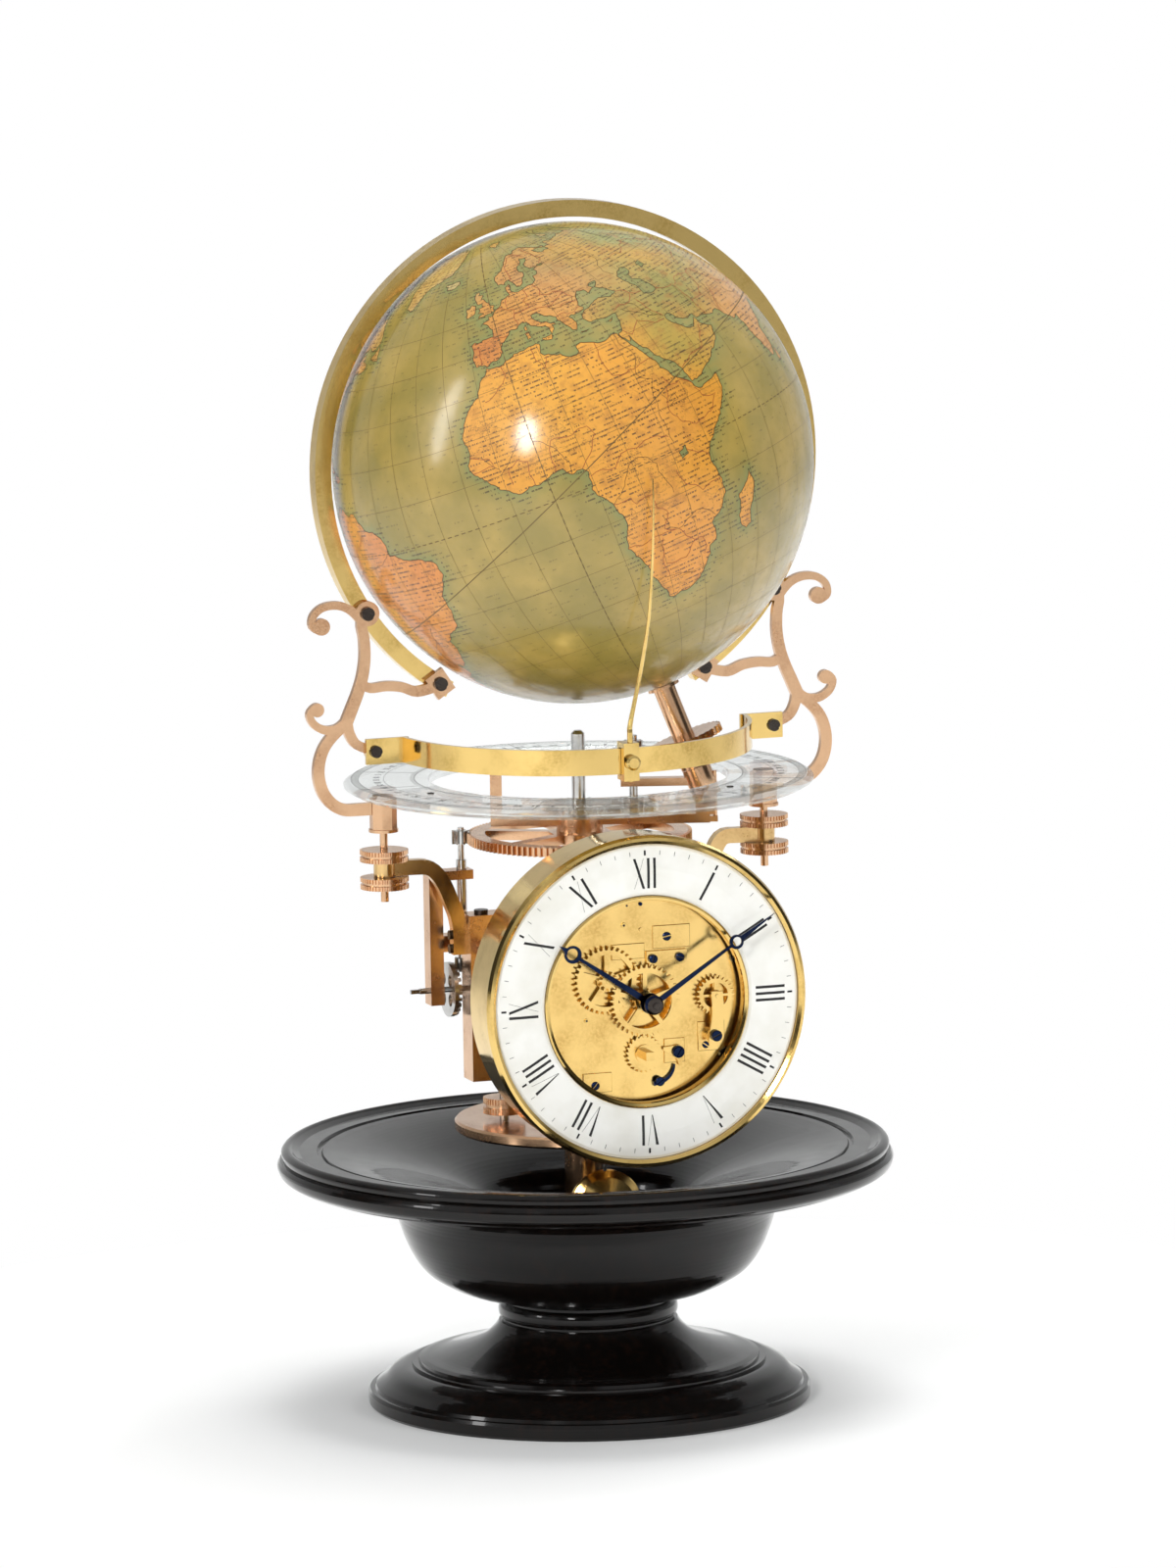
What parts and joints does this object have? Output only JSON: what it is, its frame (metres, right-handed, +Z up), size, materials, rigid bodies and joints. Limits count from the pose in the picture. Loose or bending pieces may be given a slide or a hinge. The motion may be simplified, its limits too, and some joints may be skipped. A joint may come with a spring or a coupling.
{
  "type": "astronomical clock",
  "caption": "Mantel clock with an open dial movement, pendulum, glass calendar ring and a tilted globe that turns inside a brass hoop on a turned black base.",
  "frame": {"origin": "centre of the foot on the table", "axes": "+Z up, the dial faces -Y, +X to the right of someone facing the dial"},
  "size_m": [0.2654, 0.2654, 0.5188],
  "materials": {
    "foot": "gloss",
    "bowl": "gloss",
    "tie_bolt": "satin",
    "column": "satin",
    "platform": "satin",
    "yoke": "satin",
    "bridge": "satin",
    "spacers": "satin",
    "back_plate": "satin",
    "front_plate": "satin",
    "plate_pillars": "satin",
    "dial_drum": "satin",
    "chapter_ring": "gloss",
    "arm_left": "satin",
    "arm_right": "satin",
    "pillar_left": "satin",
    "pillar_right": "satin",
    "glass_ring": "polished",
    "bracket_left": "satin",
    "bracket_right": "satin",
    "hoop": "satin",
    "strap": "satin",
    "frame_screws": "satin",
    "arbor_bracket": "satin",
    "front_cock": "satin",
    "click_spring": "polished",
    "suspension_cock": "satin",
    "level_spindles": "satin",
    "index_clamp": "satin",
    "index_pointer": "satin",
    "clamp_screw": "satin",
    "level_nut_left": "satin",
    "level_nut_right": "satin",
    "nut_left_upper": "satin",
    "nut_left_lower": "satin",
    "nut_right_upper": "satin",
    "nut_right_lower": "satin",
    "centre_wheel": "satin",
    "minute_hand": "polished",
    "hour_wheel": "satin",
    "hour_hand": "polished",
    "motion_wheel": "satin",
    "barrel": "satin",
    "winding_ratchet": "satin",
    "click": "polished",
    "third_wheel": "satin",
    "takeoff_wheel": "satin",
    "escape_wheel": "satin",
    "pallets": "satin",
    "pendulum_rod": "satin",
    "pendulum_bob": "satin",
    "rating_nut": "satin",
    "annual_wheel": "satin",
    "carrier": "satin",
    "drive_arbor": "satin",
    "setting_arbor": "satin",
    "day_shaft": "satin",
    "crown_shaft": "satin",
    "globe": "gloss",
    "globe_arbor": "satin"
  },
  "bodies": {
    "stand": {"foot": "foot", "bowl": "bowl", "tie_bolt": "tie_bolt", "column": "column", "platform": "platform", "yoke": "yoke", "bridge": "bridge", "spacers": "spacers", "back_plate": "back_plate", "front_plate": "front_plate", "plate_pillars": "plate_pillars", "dial_drum": "dial_drum", "chapter_ring": "chapter_ring", "arm_left": "arm_left", "arm_right": "arm_right", "pillar_left": "pillar_left", "pillar_right": "pillar_right", "glass_ring": "glass_ring", "bracket_left": "bracket_left", "bracket_right": "bracket_right", "hoop": "hoop", "strap": "strap", "frame_screws": "frame_screws", "arbor_bracket": "arbor_bracket", "front_cock": "front_cock", "click_spring": "click_spring", "suspension_cock": "suspension_cock", "level_spindles": "level_spindles", "index_clamp": "index_clamp"},
    "pointer": {"index_pointer": "index_pointer"},
    "clamp_screw": {"clamp_screw": "clamp_screw"},
    "level_nut_left": {"level_nut_left": "level_nut_left"},
    "level_nut_right": {"level_nut_right": "level_nut_right"},
    "nut_left_upper": {"nut_left_upper": "nut_left_upper"},
    "nut_left_lower": {"nut_left_lower": "nut_left_lower"},
    "nut_right_upper": {"nut_right_upper": "nut_right_upper"},
    "nut_right_lower": {"nut_right_lower": "nut_right_lower"},
    "centre_arbor": {"centre_wheel": "centre_wheel", "minute_hand": "minute_hand"},
    "hour_pipe": {"hour_wheel": "hour_wheel", "hour_hand": "hour_hand"},
    "motion_wheel": {"motion_wheel": "motion_wheel"},
    "barrel": {"barrel": "barrel"},
    "winding_arbor": {"winding_ratchet": "winding_ratchet"},
    "click": {"click": "click"},
    "third_arbor": {"third_wheel": "third_wheel"},
    "takeoff_arbor": {"takeoff_wheel": "takeoff_wheel"},
    "escape_arbor": {"escape_wheel": "escape_wheel"},
    "pallet_arbor": {"pallets": "pallets"},
    "pendulum": {"pendulum_rod": "pendulum_rod", "pendulum_bob": "pendulum_bob"},
    "rating_nut": {"rating_nut": "rating_nut"},
    "year_carrier": {"annual_wheel": "annual_wheel", "carrier": "carrier"},
    "drive_arbor": {"drive_arbor": "drive_arbor"},
    "setting_arbor": {"setting_arbor": "setting_arbor"},
    "day_shaft": {"day_shaft": "day_shaft"},
    "crown_shaft": {"crown_shaft": "crown_shaft"},
    "globe": {"globe": "globe", "globe_arbor": "globe_arbor"}
  },
  "joints": [
    {"name": "hands_turn", "type": "hinge", "parent": "stand", "child": "centre_arbor", "pos_m": [0, -0.06, 0.187], "axis": [0, -1, 0], "continuous": true},
    {"name": "hour_hand_turn", "type": "hinge", "parent": "stand", "child": "hour_pipe", "pos_m": [0, -0.06, 0.187], "axis": [0, -1, 0], "continuous": true},
    {"name": "motion_wheel_turn", "type": "hinge", "parent": "stand", "child": "motion_wheel", "pos_m": [-0.01624, -0.06, 0.19637], "axis": [0, -1, 0], "continuous": true},
    {"name": "barrel_turn", "type": "hinge", "parent": "stand", "child": "barrel", "pos_m": [0, -0.06, 0.1639], "axis": [0, -1, 0], "continuous": true},
    {"name": "winding_arbor_turn", "type": "hinge", "parent": "stand", "child": "winding_arbor", "pos_m": [0, -0.06, 0.1639], "axis": [0, -1, 0], "continuous": true},
    {"name": "click_lift", "type": "hinge", "parent": "stand", "child": "click", "pos_m": [0.0151, -0.06, 0.1638], "axis": [0, -1, 0], "range_deg": [-10, 0]},
    {"name": "third_wheel_turn", "type": "hinge", "parent": "stand", "child": "third_arbor", "pos_m": [-0.01497, -0.06, 0.20197], "axis": [0, -1, 0], "continuous": true},
    {"name": "takeoff_wheel_turn", "type": "hinge", "parent": "stand", "child": "takeoff_arbor", "pos_m": [0.0319, -0.06, 0.187], "axis": [0, -1, 0], "continuous": true},
    {"name": "escape_wheel_turn", "type": "hinge", "parent": "stand", "child": "escape_arbor", "pos_m": [0, -0.06, 0.217], "axis": [0, -1, 0], "continuous": true},
    {"name": "pendulum_swing", "type": "hinge", "parent": "stand", "child": "pendulum", "pos_m": [0, -0.026, 0.228], "axis": [0, -1, 0], "range_deg": [-4, 4]},
    {"name": "pallets_rock", "type": "hinge", "parent": "stand", "child": "pallet_arbor", "pos_m": [0, -0.06, 0.228], "axis": [0, -1, 0], "range_deg": [-4, 4]},
    {"name": "rating_nut_turn", "type": "hinge", "parent": "pendulum", "child": "rating_nut", "pos_m": [0, -0.026, 0.07], "axis": [0, 0, 1], "continuous": true},
    {"name": "year_carrier_turn", "type": "hinge", "parent": "stand", "child": "year_carrier", "pos_m": [0, 0, 0.245], "axis": [0, 0, 1], "continuous": true},
    {"name": "drive_arbor_turn", "type": "hinge", "parent": "stand", "child": "drive_arbor", "pos_m": [-0.048, 0.0172, 0.215], "axis": [0, 0, 1], "continuous": true},
    {"name": "setting_arbor_turn", "type": "hinge", "parent": "stand", "child": "setting_arbor", "pos_m": [-0.05, 0.0172, 0.18], "axis": [1, 0, 0], "continuous": true},
    {"name": "globe_turn", "type": "hinge", "parent": "year_carrier", "child": "globe", "pos_m": [0, 0, 0.407], "axis": [-0.3371, 0.1115, 0.9348], "continuous": true},
    {"name": "day_shaft_turn", "type": "hinge", "parent": "year_carrier", "child": "day_shaft", "pos_m": [0, 0, 0.258], "axis": [0, 0, 1], "continuous": true},
    {"name": "crown_shaft_turn", "type": "hinge", "parent": "year_carrier", "child": "crown_shaft", "pos_m": [0.02231, -0.00738, 0.258], "axis": [0, 0, 1], "continuous": true},
    {"name": "index_slide", "type": "slide", "parent": "stand", "child": "pointer", "axis": [0, 0, 1], "range_m": [-0.004, 0.006]},
    {"name": "clamp_screw_turn", "type": "hinge", "parent": "stand", "child": "clamp_screw", "pos_m": [0, -0.07, 0.2875], "axis": [0, -1, 0], "continuous": true},
    {"name": "level_nut_left_turn", "type": "hinge", "parent": "stand", "child": "level_nut_left", "pos_m": [-0.035, 0.004, 0.13], "axis": [0, 0, 1], "continuous": true},
    {"name": "level_nut_right_turn", "type": "hinge", "parent": "stand", "child": "level_nut_right", "pos_m": [0.035, 0.004, 0.13], "axis": [0, 0, 1], "continuous": true},
    {"name": "pillar_nut_left_upper_turn", "type": "hinge", "parent": "stand", "child": "nut_left_upper", "pos_m": [-0.086, 0.0065, 0.242], "axis": [0, 0, 1], "continuous": true},
    {"name": "pillar_nut_left_lower_turn", "type": "hinge", "parent": "stand", "child": "nut_left_lower", "pos_m": [-0.086, 0.0065, 0.23], "axis": [0, 0, 1], "continuous": true},
    {"name": "pillar_nut_right_upper_turn", "type": "hinge", "parent": "stand", "child": "nut_right_upper", "pos_m": [0.086, 0.0065, 0.246], "axis": [0, 0, 1], "continuous": true},
    {"name": "pillar_nut_right_lower_turn", "type": "hinge", "parent": "stand", "child": "nut_right_lower", "pos_m": [0.086, 0.0065, 0.234], "axis": [0, 0, 1], "continuous": true}
  ],
  "couplings": [
    {"joint": "motion_wheel_turn", "follows": "hands_turn", "ratio": -0.33333},
    {"joint": "hour_hand_turn", "follows": "hands_turn", "ratio": 0.083333},
    {"joint": "barrel_turn", "follows": "hands_turn", "ratio": -0.17857},
    {"joint": "third_wheel_turn", "follows": "hands_turn", "ratio": -6.3},
    {"joint": "takeoff_wheel_turn", "follows": "hands_turn", "ratio": -1.3404},
    {"joint": "escape_wheel_turn", "follows": "hands_turn", "ratio": 50.4},
    {"joint": "pallets_rock", "follows": "pendulum_swing", "ratio": 1},
    {"joint": "drive_arbor_turn", "follows": "year_carrier_turn", "ratio": -14},
    {"joint": "setting_arbor_turn", "follows": "year_carrier_turn", "ratio": -4.6667},
    {"joint": "crown_shaft_turn", "follows": "globe_turn", "ratio": -3.2},
    {"joint": "day_shaft_turn", "follows": "globe_turn", "ratio": 1.8133}
  ]
}
